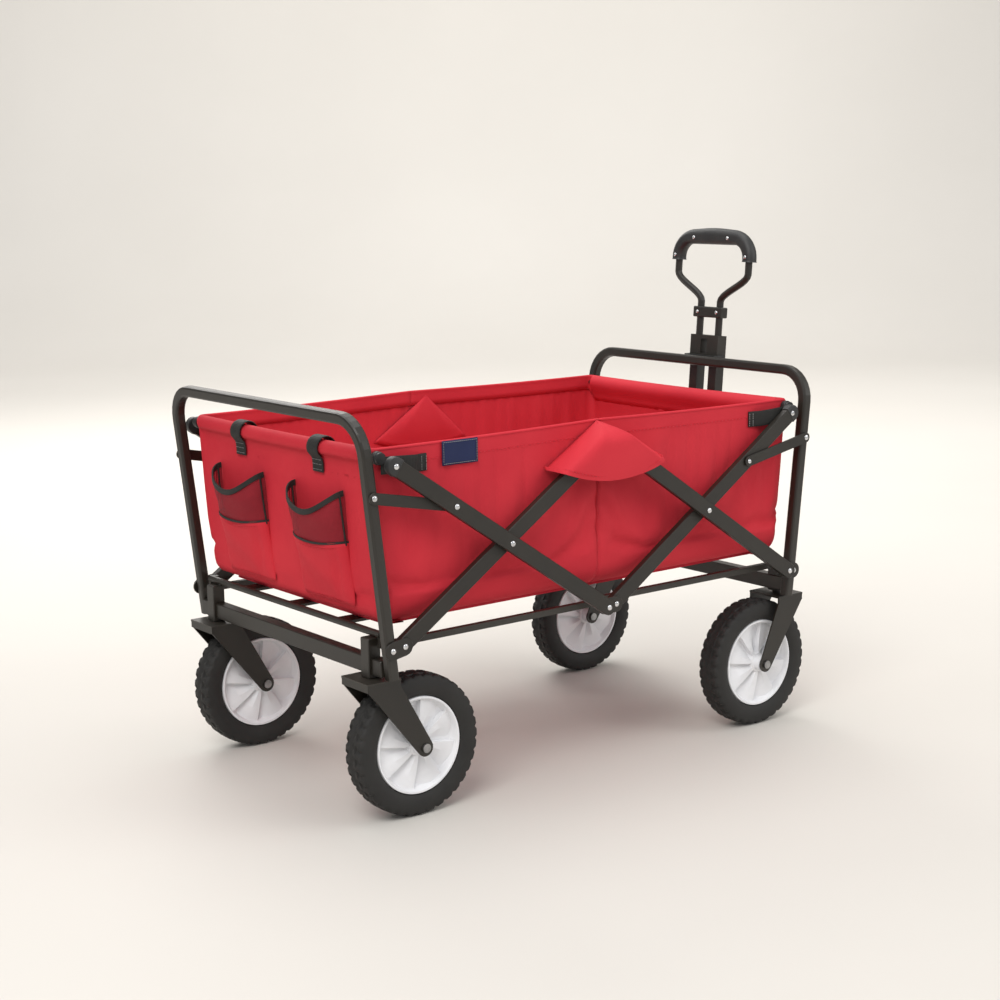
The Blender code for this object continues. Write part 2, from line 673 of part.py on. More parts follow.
def main():
    global PARTS, WAGON
    clear_scene()
    PARTS = bpy.data.collections.new("folding_camp_wagon")
    bpy.context.scene.collection.children.link(PARTS)
    WAGON = bpy.data.objects.new("wagon", None)
    WAGON.location = (CENTRE_X, 0, 0)
    PARTS.objects.link(WAGON)

    make_chassis("rear_chassis", REAR_POST_X, REAR_BEAM_X, CROWN_TOP + GAP, False)
    make_chassis("front_chassis", FRONT_POST_X, FRONT_BEAM_X, CROWN_TOP + 0.0030, True)
    for end, way in (("rear", -1), ("front", 1)):
        make_u_frame(f"{end}_u_frame", way)
        make_end_panel(f"{end}_panel", f"{end}_hem_rod", way)
        make_floor_pad(f"{end}_floor_pad", way)
    make_floor_frame("rear_floor_frame", -1, REAR_SLATS, REAR_SIDE_BAR)
    make_floor_frame("front_floor_frame", 1, [y + SLAT_SHIFT for y in REAR_SLATS], FRONT_SIDE_BAR)
    for side, word in ((1, "left"), (-1, "right")):
        make_wheel("rear", side, REAR_AXLE_X)
        make_wheel("front", side, FRONT_AXLE_X)
        make_fork(f"rear_fork_{word}", side, REAR_POST_X, REAR_AXLE_X, False)
        make_fork(f"caster_fork_{word}", side, FRONT_POST_X, FRONT_AXLE_X, True)
        make_scissors(side)
        make_side_panel(f"rear_side_panel_{word}", -1, side)
        make_side_panel(f"front_side_panel_{word}", 1, side)
        make_pocket(f"drink_pocket_{word}", side)
    make_handle()
    make_handle_mounts()


main()
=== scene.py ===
"""Looks for the folding camp wagon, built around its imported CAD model."""

import math

import bmesh
import bpy
from mathutils import Matrix, Vector


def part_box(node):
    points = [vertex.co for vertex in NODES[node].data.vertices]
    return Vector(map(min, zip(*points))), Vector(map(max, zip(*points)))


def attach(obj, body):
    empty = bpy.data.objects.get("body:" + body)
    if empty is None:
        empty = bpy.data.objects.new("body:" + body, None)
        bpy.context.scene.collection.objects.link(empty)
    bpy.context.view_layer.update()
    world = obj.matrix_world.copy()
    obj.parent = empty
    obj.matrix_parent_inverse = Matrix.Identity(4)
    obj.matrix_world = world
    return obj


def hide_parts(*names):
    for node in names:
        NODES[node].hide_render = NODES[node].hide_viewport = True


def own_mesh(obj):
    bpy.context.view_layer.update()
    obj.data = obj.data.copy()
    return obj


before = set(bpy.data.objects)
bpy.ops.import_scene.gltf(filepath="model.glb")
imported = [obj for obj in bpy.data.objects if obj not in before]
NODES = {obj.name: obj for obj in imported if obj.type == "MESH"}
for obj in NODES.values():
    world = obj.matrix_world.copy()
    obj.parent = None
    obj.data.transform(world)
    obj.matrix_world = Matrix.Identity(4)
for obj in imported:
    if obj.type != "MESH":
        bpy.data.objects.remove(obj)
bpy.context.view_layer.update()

# The middle of the scissor frame, which every X below is measured from
HUB_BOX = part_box("bottom_hub_left")
MIDDLE_X = (HUB_BOX[0].x + HUB_BOX[1].x) / 2

# Sizes repeated from the CAD, in metres
WHEEL_RADIUS = 0.1015
TYRE_HALF_WIDTH = 0.0210
RIM_RADIUS = 0.0697
WHEEL_Y = 0.2125
AXLE_X = {"rear": -0.3230, "front": 0.3476}
PIVOT_X, PIVOT_Z = 0.3670, 0.2570
HUB_X = 0.0115
ARM_RISE, OVERHANG = 0.1190, 0.2325
ARM_RUN = (PIVOT_X - HUB_X) / 2
ARM = math.hypot(ARM_RUN, ARM_RISE)
CROSS_X, CROSS_Z = (PIVOT_X + HUB_X) / 2, PIVOT_Z + ARM_RISE
TOP_X, TOP_Z = CROSS_X + OVERHANG * ARM_RUN / ARM, CROSS_Z + OVERHANG * ARM_RISE / ARM
LINK_PIN = (0.4110, 0.4644)
LINK_AT = 0.1145
LINK_MEET = (HUB_X + (1 + LINK_AT / ARM) * ARM_RUN, PIVOT_Z + (1 + LINK_AT / ARM) * ARM_RISE)
LEG_PIN = (0.3870, 0.2535)
INNER_FACE, PLATE_FACE, OUTER_FACE = 0.2615, 0.2650, 0.2755
HEM_X, HEM_Z, HEM_RADIUS = 0.3890, 0.5135, 0.0125
WALL_FOOT_X, WALL_TOP_X = 0.3780, 0.4000
WALL_LOW, WALL_HIGH = 0.2680, 0.5135
WALL_Y = 0.2368
HANDLE_X, HANDLE_Z, HANDLE_LEAN = 0.4240, 0.2350, math.radians(4.6)
TUBE_Y = 0.0225
PAD_INNER = 0.0009
CLAMP_S = (0.4030, 0.4210)
LOOP_WIDE, LOOP_HALF, LOOP_TOP, LOOP_BEND = 0.4780, 0.0830, 0.5360, 0.0330
RIVET_RADIUS, RIVET_HEIGHT = 0.0042, 0.0019
CAP_RADIUS = 0.0128

# The tub's cloth
CORNER = 0.016
TOP_EDGE = 0.5262
BEAD_RADIUS = 0.0024
FLOOR_Z = 0.2800
FLOOR_BEND_SIDE, FLOOR_BEND_END = 0.036, 0.020
CLOTH_THICKNESS, PATCH_THICKNESS = 0.0014, 0.0012
PAD_OUTER, PAD_HALF_Y = 0.3560, 0.1985
PAD_LOW, PAD_HIGH = 0.2738, 0.2815
POCKET_Y, POCKET_FOOT = 0.105, 0.2985

TUB_BODY = {-1: "rear_tub", 1: "front_tub"}
END = {-1: "rear", 1: "front"}
SIDES = {1: "left", -1: "right"}


def at(x, y, z):
    return Vector((x + MIDDLE_X, y, z))


# ---------------------------------------------------------------- materials


def node_material(name):
    made = bpy.data.materials.new(name)
    made.use_nodes = True
    tree = made.node_tree
    return made, tree, tree.nodes["Principled BSDF"]


def textured(name, dark, light, rough, scale, bump_scale, bump, metallic=0.0, coat=0.0, edge_highlight=None):
    """A colour that drifts between two tones, with uneven gloss, a fine surface and, when given, a painted
    highlight on sharp edges.
    """
    made, tree, shader = node_material(name)
    new, link = tree.nodes.new, tree.links.new
    coords = new("ShaderNodeTexCoord").outputs["Object"]
    drift = new("ShaderNodeTexNoise")
    drift.inputs["Scale"].default_value = scale
    drift.inputs["Detail"].default_value = 5.0
    link(coords, drift.inputs["Vector"])
    ramp = new("ShaderNodeValToRGB")
    ramp.color_ramp.elements[0].position, ramp.color_ramp.elements[1].position = 0.30, 0.70
    ramp.color_ramp.elements[0].color = (*dark, 1)
    ramp.color_ramp.elements[1].color = (*light, 1)
    link(drift.outputs["Fac"], ramp.inputs["Fac"])
    colour = ramp.outputs["Color"]
    # Painted highlight: sharp convex edges get a lighter colour that stands in for light catching them
    if edge_highlight:
        edge = new("ShaderNodeNewGeometry")
        edge_highlight_mask = new("ShaderNodeMapRange")
        edge_highlight_mask.inputs["From Min"].default_value = 0.58
        edge_highlight_mask.inputs["From Max"].default_value = 0.80
        link(edge.outputs["Pointiness"], edge_highlight_mask.inputs["Value"])
        edge_highlight_mix = new("ShaderNodeMix")
        edge_highlight_mix.data_type = "RGBA"
        link(edge_highlight_mask.outputs["Result"], edge_highlight_mix.inputs["Factor"])
        link(colour, edge_highlight_mix.inputs["A"])
        edge_highlight_mix.inputs["B"].default_value = (*edge_highlight, 1)
        colour = edge_highlight_mix.outputs["Result"]
    link(colour, shader.inputs["Base Color"])
    gloss = new("ShaderNodeMapRange")
    gloss.inputs["To Min"].default_value = rough - 0.06
    gloss.inputs["To Max"].default_value = rough + 0.08
    link(drift.outputs["Fac"], gloss.inputs["Value"])
    link(gloss.outputs["Result"], shader.inputs["Roughness"])
    fine = new("ShaderNodeTexNoise")
    fine.inputs["Scale"].default_value = bump_scale
    fine.inputs["Detail"].default_value = 3.0
    link(coords, fine.inputs["Vector"])
    raised = new("ShaderNodeBump")
    raised.inputs["Strength"].default_value = bump
    raised.inputs["Distance"].default_value = 0.0006
    link(fine.outputs["Fac"], raised.inputs["Height"])
    link(raised.outputs["Normal"], shader.inputs["Normal"])
    shader.inputs["Metallic"].default_value = metallic
    shader.inputs["Coat Weight"].default_value = coat
    return made


def woven(name, dark, light, pitch, rough=0.78, sheen=0.30, bump=0.35, holes=0.0):
    """Cloth: warp and weft threads as fine bands, on a colour that drifts a little."""
    made, tree, shader = node_material(name)
    new, link = tree.nodes.new, tree.links.new
    coords = new("ShaderNodeTexCoord").outputs["Object"]
    bands = []
    for direction, turn in (("X", (0.0, 0.0, math.radians(45))), ("Z", (0.0, 0.0, 0.0))):
        aim = new("ShaderNodeMapping")
        aim.inputs["Rotation"].default_value = turn
        link(coords, aim.inputs["Vector"])
        band = new("ShaderNodeTexWave")
        band.bands_direction = direction
        band.inputs["Scale"].default_value = 2 * math.pi / (20 * pitch)
        band.inputs["Distortion"].default_value = 0.6
        band.inputs["Detail"].default_value = 1.0
        link(aim.outputs["Vector"], band.inputs["Vector"])
        bands.append(band.outputs["Fac"])
    weave = new("ShaderNodeMath")
    weave.operation = "MULTIPLY"
    link(bands[0], weave.inputs[0])
    link(bands[1], weave.inputs[1])
    drift = new("ShaderNodeTexNoise")
    drift.inputs["Scale"].default_value = 9.0
    drift.inputs["Detail"].default_value = 6.0
    link(coords, drift.inputs["Vector"])
    total = new("ShaderNodeMath")
    total.operation = "MULTIPLY_ADD"
    total.inputs[1].default_value = 0.35
    link(weave.outputs[0], total.inputs[0])
    link(drift.outputs["Fac"], total.inputs[2])
    ramp = new("ShaderNodeValToRGB")
    ramp.color_ramp.elements[0].position, ramp.color_ramp.elements[1].position = 0.30, 0.85
    ramp.color_ramp.elements[0].color = (*dark, 1)
    ramp.color_ramp.elements[1].color = (*light, 1)
    link(total.outputs[0], ramp.inputs["Fac"])
    link(ramp.outputs["Color"], shader.inputs["Base Color"])
    raised = new("ShaderNodeBump")
    raised.inputs["Strength"].default_value = bump
    raised.inputs["Distance"].default_value = 0.0004
    link(weave.outputs[0], raised.inputs["Height"])
    link(raised.outputs["Normal"], shader.inputs["Normal"])
    shader.inputs["Roughness"].default_value = rough
    shader.inputs["Specular IOR Level"].default_value = 0.30
    shader.inputs["Sheen Weight"].default_value = sheen
    shader.inputs["Sheen Roughness"].default_value = 0.45
    shader.inputs["Sheen Tint"].default_value = (*[min(1.0, 1.6 * c) for c in light], 1)
    if holes:
        gap = new("ShaderNodeMath")
        gap.operation = "GREATER_THAN"
        gap.inputs[1].default_value = holes
        link(weave.outputs[0], gap.inputs[0])
        solid = new("ShaderNodeMath")
        solid.operation = "SUBTRACT"
        solid.inputs[0].default_value = 1.0
        link(gap.outputs[0], solid.inputs[1])
        link(solid.outputs[0], shader.inputs["Alpha"])
    return made


# The frame paint's lighter edge colour is a painted highlight, not wear
PAINT = textured("frame_paint", (0.0098, 0.0076, 0.0046), (0.0155, 0.0122, 0.0075), 0.42, 14, 900, 0.08,
                 coat=0.06, edge_highlight=(0.060, 0.054, 0.044))
RUBBER = textured("tyre_rubber", (0.009, 0.008, 0.007), (0.017, 0.016, 0.014), 0.66, 30, 700, 0.25)
HUB_PLASTIC = textured("hub_plastic", (0.74, 0.74, 0.755), (0.83, 0.83, 0.84), 0.42, 18, 500, 0.05)
GRIP_PLASTIC = textured("grip_plastic", (0.012, 0.012, 0.012), (0.022, 0.022, 0.021), 0.48, 40, 1500, 0.30)
STEEL = textured("rivet_steel", (0.55, 0.55, 0.56), (0.80, 0.80, 0.80), 0.26, 120, 900, 0.05, metallic=1.0)
AXLE_STEEL = textured("axle_steel", (0.20, 0.20, 0.20), (0.42, 0.42, 0.42), 0.34, 90, 900, 0.08, metallic=1.0)
CLOTH = woven("tub_cloth", (0.50, 0.016, 0.030), (0.60, 0.028, 0.042), 0.0011)
MESH = woven("pocket_mesh", (0.20, 0.010, 0.018), (0.30, 0.016, 0.026), 0.0017, holes=0.55, bump=0.6)
WEBBING = woven("webbing", (0.010, 0.010, 0.009), (0.030, 0.029, 0.026), 0.0016,
                rough=0.62, sheen=0.15, bump=0.8)
LABEL = woven("label", (0.008, 0.014, 0.055), (0.014, 0.024, 0.085), 0.0008, rough=0.6, sheen=0.1)
THREAD_RED = textured("red_thread", (0.42, 0.012, 0.026), (0.56, 0.020, 0.036), 0.6, 300, 900, 0.2)
THREAD_PALE = textured("pale_thread", (0.22, 0.22, 0.21), (0.34, 0.34, 0.33), 0.6, 300, 900, 0.2)
PAD = woven("floor_pad_cloth", (0.50, 0.016, 0.032), (0.60, 0.026, 0.046), 0.0011)


# ---------------------------------------------------------------- shapes


def new_object(name, mesh, finish, flat_angle=35):
    obj = bpy.data.objects.new(name, mesh)
    bpy.context.scene.collection.objects.link(obj)
    mesh.materials.append(finish)
    mesh.shade_smooth()
    mesh.set_sharp_from_angle(angle=math.radians(flat_angle))
    return obj


def mesh_piece(name, verts, faces, finish, flat_angle=35):
    mesh = bpy.data.meshes.new(name)
    mesh.from_pydata([tuple(v) for v in verts], [], faces)
    shape = bmesh.new()
    shape.from_mesh(mesh)
    bmesh.ops.recalc_face_normals(shape, faces=shape.faces[:])
    shape.to_mesh(mesh)
    shape.free()
    return new_object(name, mesh, finish, flat_angle)


def grid_faces(rows, columns, wrap_columns=False, wrap_rows=False):
    faces = []
    for r in range(rows if wrap_rows else rows - 1):
        for c in range(columns if wrap_columns else columns - 1):
            r2, c2 = (r + 1) % rows, (c + 1) % columns
            faces.append((r * columns + c, r * columns + c2, r2 * columns + c2, r2 * columns + c))
    return faces


def grid_piece(name, rows, finish, wrap_columns=False, wrap_rows=False, flat_angle=50):
    verts = [p for row in rows for p in row]
    faces = grid_faces(len(rows), len(rows[0]), wrap_columns, wrap_rows)
    return mesh_piece(name, verts, faces, finish, flat_angle)


def thicken(obj, thickness, offset=-1.0):
    """Gives a sheet its thickness: inwards, or half to each side with an offset of 0."""
    step = obj.modifiers.new("thickness", "SOLIDIFY")
    step.thickness = thickness
    step.offset = offset
    return apply_modifiers(obj)


def apply_modifiers(obj):
    graph = bpy.context.evaluated_depsgraph_get()
    mesh = bpy.data.meshes.new_from_object(obj.evaluated_get(graph))
    obj.modifiers.clear()
    obj.data = mesh
    return obj


def on_tub(piece, way):
    """The piece moves with that end of the tub."""
    return soft_on_tub(piece, way)


def merged(name, objects):
    """One piece made of several objects' meshes."""
    shape = bmesh.new()
    finish = objects[0].data.materials[0]
    for obj in objects:
        obj.data.transform(obj.matrix_world)
        shape.from_mesh(obj.data)
    mesh = bpy.data.meshes.new(name)
    shape.to_mesh(mesh)
    shape.free()
    for obj in objects:
        bpy.data.objects.remove(obj, do_unlink=True)
    made = bpy.data.objects.new(name, mesh)
    bpy.context.scene.collection.objects.link(made)
    mesh.materials.append(finish)
    return made


def capped_piece(name, rows, finish, flat_angle):
    """A closed solid from equal outlines in a row, with a face over each end."""
    count = len(rows[0])
    verts = [p for row in rows for p in row]
    faces = grid_faces(len(rows), count, wrap_columns=True)
    faces.append(tuple(range(count)))
    faces.append(tuple(range(len(verts) - 1, len(verts) - count - 1, -1)))
    return mesh_piece(name, verts, faces, finish, flat_angle)


def lathe(name, profile, steps, finish, centre, modulate=None, flat_angle=40):
    """A ring about an axis along Y, from (radius, distance along Y) pairs that modulate may change."""
    rows = []
    for i in range(steps):
        angle = 2 * math.pi * i / steps
        row = []
        for k, (radius, side) in enumerate(profile):
            if modulate:
                radius, side = modulate(i, k, radius, side)
            row.append(centre + Vector((radius * math.sin(angle), side, radius * math.cos(angle))))
        rows.append(row)
    return grid_piece(name, rows, finish, wrap_columns=True, wrap_rows=True, flat_angle=flat_angle)


def ribbon(name, path, half_width, across, thickness, finish):
    """A flat band along a path, with its width along the given direction."""
    rows = []
    for i, place in enumerate(path):
        before, after = path[max(i - 1, 0)], path[min(i + 1, len(path) - 1)]
        out = (after - before).cross(across).normalized()
        row = []
        for face in (1, -1):
            for share in (-1, -0.9, -0.5, 0, 0.5, 0.9, 1):
                lift = thickness / 2 * (0.5 if abs(share) == 1 else 1)
                row.append(place + across * half_width * share * face + out * lift * face)
        rows.append(row)
    return capped_piece(name, rows, finish, 50)


def tube_along(name, path, section, finish, up, flat_angle):
    """A closed solid along a path. section(i) gives the outline as (across, up) distances."""
    rows = []
    for i, place in enumerate(path):
        before, after = path[max(i - 1, 0)], path[min(i + 1, len(path) - 1)]
        along = (after - before).normalized()
        side = up.cross(along).normalized()
        above = along.cross(side).normalized()
        rows.append([place + side * a + above * b for a, b in section(i)])
    return capped_piece(name, rows, finish, flat_angle)


def smooth_path(points, steps=8):
    """Close points on a smooth curve through the given ones."""
    found = []
    for i in range(len(points) - 1):
        a = points[max(i - 1, 0)]
        b, c = points[i], points[i + 1]
        d = points[min(i + 2, len(points) - 1)]
        for k in range(steps):
            t = k / steps
            square, cube = 2 * a - 5 * b + 4 * c - d, 3 * b - a - 3 * c + d
            found.append(0.5 * ((2 * b) + (c - a) * t + square * t * t + cube * t ** 3))
    found.append(points[-1])
    return found


def stitches(name, path, out, finish, length=0.0034, gap=0.0016, half=0.00035, lift=0.0003):
    """Sewn threads along a path: short rounded dashes standing on the cloth. out(i) is the outward way."""
    verts, faces = [], []
    carried = 0.0
    for i in range(1, len(path)):
        step = path[i] - path[i - 1]
        if step.length < 1e-9:
            continue
        along = step.normalized()
        away = out(i).normalized()
        side = along.cross(away)
        travelled = carried
        while travelled + length <= step.length:
            start = path[i - 1] + along * travelled
            ends = (start, start + along * length)
            base = len(verts)
            for end in ends:
                verts += [end + side * half, end + away * (half + lift), end - side * half, end - away * half]
            middle = (ends[0] + ends[1]) / 2
            verts += [middle + side * half * 1.3, middle + away * (1.6 * half + lift),
                      middle - side * half * 1.3, middle - away * half]
            for a, b in ((0, 8), (8, 4)):
                for k in range(4):
                    k2 = (k + 1) % 4
                    faces.append((base + a + k, base + a + k2, base + b + k2, base + b + k))
            faces.append((base, base + 1, base + 2, base + 3))
            faces.append((base + 7, base + 6, base + 5, base + 4))
            travelled += length + gap
        carried = max(0.0, travelled - step.length)
    return mesh_piece(name, verts, faces, finish, 80)


def soft_on_tub(piece, way):
    """The piece moves with that end of the tub, with a mesh of its own."""
    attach(piece, TUB_BODY[way])
    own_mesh(piece)
    return piece


# ---------------------------------------------------------------- the tub


def wall_x(z):
    return WALL_FOOT_X + (WALL_TOP_X - WALL_FOOT_X) * (z - WALL_LOW) / (WALL_HIGH - WALL_LOW)


# The stations round half of the tub, as (kind, side, share of the way along that part)
STATIONS = []
SIDE_STEPS, CORNER_STEPS, END_STEPS = 52, 6, 56
for step in range(SIDE_STEPS):
    STATIONS.append(("side", -1, step / SIDE_STEPS))
for step in range(CORNER_STEPS):
    STATIONS.append(("corner", -1, step / CORNER_STEPS))
for step in range(END_STEPS + 1):
    STATIONS.append(("end", 0, step / END_STEPS))
for step in range(1, CORNER_STEPS + 1):
    STATIONS.append(("corner", 1, 1 - step / CORNER_STEPS))
for step in range(1, SIDE_STEPS + 1):
    STATIONS.append(("side", 1, 1 - step / SIDE_STEPS))


def end_share(kind, share):
    """1 on the end wall, 0 on the sides."""
    if kind == "side":
        return 0.0
    if kind == "end":
        return 1.0
    return share * share * (3 - 2 * share)


def tub_point(way, station, offset, z):
    kind, side, share = station
    reach = wall_x(z)
    if kind == "side":
        return at(way * share * (reach - CORNER), side * (WALL_Y + offset), z)
    if kind == "end":
        y = (-1 + 2 * share) * (WALL_Y - CORNER)
        return at(way * (reach + offset), y, z)
    angle = math.radians(90 * share)
    radius = CORNER + offset
    x = reach - CORNER + radius * math.sin(angle)
    y = WALL_Y - CORNER + radius * math.cos(angle)
    return at(way * x, side * y, z)


def top_height(station):
    kind, _, share = station
    if kind == "side":
        return TOP_EDGE + 0.0040 * (1 - share) ** 1.5 - 0.0008 * math.sin(math.pi * share)
    if kind == "end":
        return TOP_EDGE - 0.0016 * math.sin(math.pi * share)
    return TOP_EDGE


def floor_bend(station):
    """The radius of the cloth where the wall turns into the floor."""
    return FLOOR_BEND_SIDE + (FLOOR_BEND_END - FLOOR_BEND_SIDE) * end_share(station[0], station[2])


def bead_radius(station):
    """The radius of the top edge: a thin hem on the sides, the sleeve of the hem rod on the end wall."""
    return BEAD_RADIUS + (HEM_RADIUS - BEAD_RADIUS) * end_share(station[0], station[2])


def folds(way, station, z):
    """How far the cloth stands off its plain wall: slack, pulls at the corners, puckers at the seam."""
    kind, side, share = station
    high = max(0.0, min(1.0, (z - 0.29) / 0.21))
    belly = math.sin(math.pi * high)
    if kind == "side":
        x = share * 0.37
        seam = math.exp(-((x / 0.010) ** 2))
        pull = math.sin(34 * x + 16 * (z - 0.3) * way + side) * 0.0012
        bulge = 0.0030 * belly * math.sin(math.pi * min(1, share * 1.05)) ** 0.7
        pucker = 0.0016 * math.exp(-((x / 0.045) ** 2)) * math.sin(150 * z + 40 * x) * belly
        corner = 0.0022 * math.exp(-(((x - 0.33) / 0.05) ** 2)) * math.sin(60 * (z - 0.27) + 30 * x)
        return bulge - 0.0032 * seam * belly + pull * belly + pucker + corner * belly
    if kind == "end":
        y = (-1 + 2 * share) * 0.22
        under_hem = -0.0050 * math.exp(-(((z - 0.492) / 0.017) ** 2))
        wave = 0.0016 * math.sin(26 * y + 18 * (z - 0.3) * way) * belly
        low = 0.0020 * math.exp(-(((z - 0.31) / 0.03) ** 2)) * math.sin(40 * y)
        return under_hem + wave + low + 0.0020 * belly * math.cos(math.pi * y / 0.46)
    return -0.0005 * belly


BEND_STEPS, WALL_STEPS = 6, 30


def make_tub(way):
    rows = []
    for turn in range(-1, BEND_STEPS + 1):
        row = []
        for station in STATIONS:
            radius = floor_bend(station)
            if turn < 0:
                row.append(tub_point(way, station, -radius - 0.020, FLOOR_Z))
                continue
            angle = math.radians(90 * (1 - turn / BEND_STEPS))
            inward, rise = radius * (math.cos(angle) - 1), radius * (1 - math.sin(angle))
            row.append(tub_point(way, station, inward, FLOOR_Z + rise))
        rows.append(row)
    for i in range(1, WALL_STEPS + 1):
        row = []
        for station in STATIONS:
            low = FLOOR_Z + floor_bend(station)
            high = top_height(station) - 0.0026 - (HEM_RADIUS + 0.004) * end_share(station[0], station[2])
            z = low + (high - low) * i / WALL_STEPS
            fade = min(1.0, 4 * i / WALL_STEPS)
            if station[0] == "side":
                fade *= min(1.0, 5 * (1 - i / WALL_STEPS) + 0.12)
            row.append(tub_point(way, station, folds(way, station, z) * fade, z))
        rows.append(row)
    for angle in range(-30, 211, 24):
        row = []
        for station in STATIONS:
            radius = bead_radius(station)
            proud = 0.0010 + 0.0016 * end_share(station[0], station[2])
            turn = math.radians(angle)
            z = top_height(station) - radius + radius * math.sin(turn)
            row.append(tub_point(way, station, proud - radius + radius * math.cos(turn), z))
        rows.append(row)
    for drop in (0.006, 0.014, 0.022):
        row = []
        for station in STATIONS:
            ending = end_share(station[0], station[2])
            top = top_height(station) - bead_radius(station)
            inside = -0.0038 - 0.0170 * ending * math.exp(-drop / 0.010)
            row.append(tub_point(way, station, inside, top - drop - 0.010 * ending))
        rows.append(row)
    obj = grid_piece(f"{END[way]}_tub_cloth", rows, CLOTH, flat_angle=70)
    settle(obj)
    thicken(obj, CLOTH_THICKNESS)
    obj.data.shade_smooth()
    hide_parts(f"{END[way]}_panel", f"{END[way]}_side_panel_left", f"{END[way]}_side_panel_right")
    soft_on_tub(obj, way)
    for side in (-1, 1):
        line = [tub_point(way, station, 0.0010, top_height(station) - 0.023)
                for station in STATIONS if station[:2] == ("side", side)]
        name = f"{END[way]}_hem_stitches_{SIDES[side]}"
        sewn = stitches(name, line, lambda i: Vector((0, side, 0)), THREAD_RED)
        on_tub(sewn, way)


HELD_BELOW, HELD_ABOVE = 9, 34
SETTLE_FRAMES = 25
SETTLE_LIMIT = {"end": 0.0018, "side": 0.0065, "corner": 0.0065}


def settle(obj):
    """Lets the cloth of the walls settle: its hems, floor edge and middle seam are held."""
    columns = len(STATIONS)
    rest = [v.co.copy() for v in obj.data.vertices]
    group = obj.vertex_groups.new(name="held")
    held = []
    for i in range(len(rest)):
        row, column = divmod(i, columns)
        if row < HELD_BELOW or row > HELD_ABOVE or column < 2 or column > columns - 3:
            held.append(i)
    group.add(held, 1.0, "REPLACE")
    cloth = obj.modifiers.new("cloth", "CLOTH")
    cloth.settings.quality = 6
    cloth.settings.mass = 0.25
    cloth.settings.tension_stiffness = 20
    cloth.settings.compression_stiffness = 6
    cloth.settings.shear_stiffness = 6
    cloth.settings.bending_stiffness = 0.8
    cloth.settings.shrink_min = -0.018
    cloth.settings.shrink_max = -0.018
    cloth.settings.use_pressure = False
    cloth.settings.vertex_group_mass = "held"
    cloth.collision_settings.use_collision = False
    scene = bpy.context.scene
    for number in range(1, SETTLE_FRAMES + 1):
        scene.frame_set(number)
    graph = bpy.context.evaluated_depsgraph_get()
    settled = [v.co.copy() for v in obj.evaluated_get(graph).data.vertices]
    obj.modifiers.clear()
    obj.vertex_groups.clear()
    for i, (vert, start, end) in enumerate(zip(obj.data.vertices, rest, settled)):
        limit = SETTLE_LIMIT[STATIONS[i % columns][0]]
        move = end - start
        if move.length > limit:
            move *= limit / move.length
        vert.co = start + move
    scene.frame_set(1)


def make_flap(side):
    """The cloth cap folded out over the top hub, and the matching gusset inside."""
    y0 = WALL_Y + 0.0015
    apex = Vector((-0.004, y0 + 0.0005, 0.5275))
    rim = [
        (-0.102, y0 + 0.001, 0.4665), (-0.098, 0.262, 0.4650), (-0.092, 0.2790, 0.4625),
        (-0.066, 0.2815, 0.4545), (-0.040, 0.2820, 0.4490), (-0.010, 0.2822, 0.4462),
        (0.022, 0.2820, 0.4472), (0.052, 0.2818, 0.4512), (0.078, 0.2812, 0.4570),
        (0.094, 0.2790, 0.4635), (0.099, 0.262, 0.4680), (0.102, y0 + 0.001, 0.4715),
    ]
    rim = smooth_path([Vector(p) for p in rim], 4)
    rows = []
    for k in range(15):
        share = k / 14
        row = []
        for j, edge in enumerate(rim):
            across = j / (len(rim) - 1)
            place = apex.lerp(edge, share)
            rise = min(1.0, share / 0.34)
            place.y = apex.y + (edge.y - apex.y) * rise * (2 - rise)
            place.y += 0.0030 * math.sin(math.pi * share) * min(1, 6 * across * (1 - across))
            place.y -= 0.0022 * math.exp(-(((across - 0.20) / 0.03) ** 2)) * math.sin(math.pi * share)
            place.y += 0.0012 * math.sin(11 * across + 2) * share
            row.append(at(place.x, side * place.y, place.z))
        rows.append(row)
    lip = [at(p.x * 0.985, side * (p.y - 0.0035), p.z + 0.004) for p in rim]
    rows.append(lip)
    flap = thicken(grid_piece(f"hub_flap_{SIDES[side]}", rows, CLOTH, flat_angle=60), PATCH_THICKNESS, 0.0)
    line = [at(p.x * 0.95, side * (p.y + 0.0008), 0.0055 + p.z) for p in rim[6:-6]]
    sewn = stitches(f"hub_flap_stitches_{SIDES[side]}", line, lambda i: Vector((0, side, 0)), THREAD_RED)
    gusset_rim = [(-0.076, 0.451), (-0.030, 0.440), (0.020, 0.436), (0.070, 0.438), (0.112, 0.444)]
    gusset_rim = smooth_path([Vector((x, 0, z)) for x, z in gusset_rim], 5)
    top = Vector((0.030, 0, 0.5200))
    wall = WALL_Y - 0.0030
    rows = []
    for k in range(13):
        share = k / 12
        row = []
        for j, edge in enumerate(gusset_rim):
            across = j / (len(gusset_rim) - 1)
            place = top.lerp(edge, share)
            ridge = min(1, 7 * across * (1 - across)) * math.sin(math.pi * min(share * 1.08, 1)) ** 0.8
            depth = 0.0010 + 0.0060 * ridge
            row.append(at(place.x, side * (wall - depth), place.z))
        rows.append(row)
    gusset = thicken(grid_piece(f"hub_gusset_{SIDES[side]}", rows, CLOTH, flat_angle=60), 0.0010, 0.0)
    for piece in (flap, sewn, gusset):
        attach(piece, f"top_hub_{SIDES[side]}")
        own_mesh(piece)


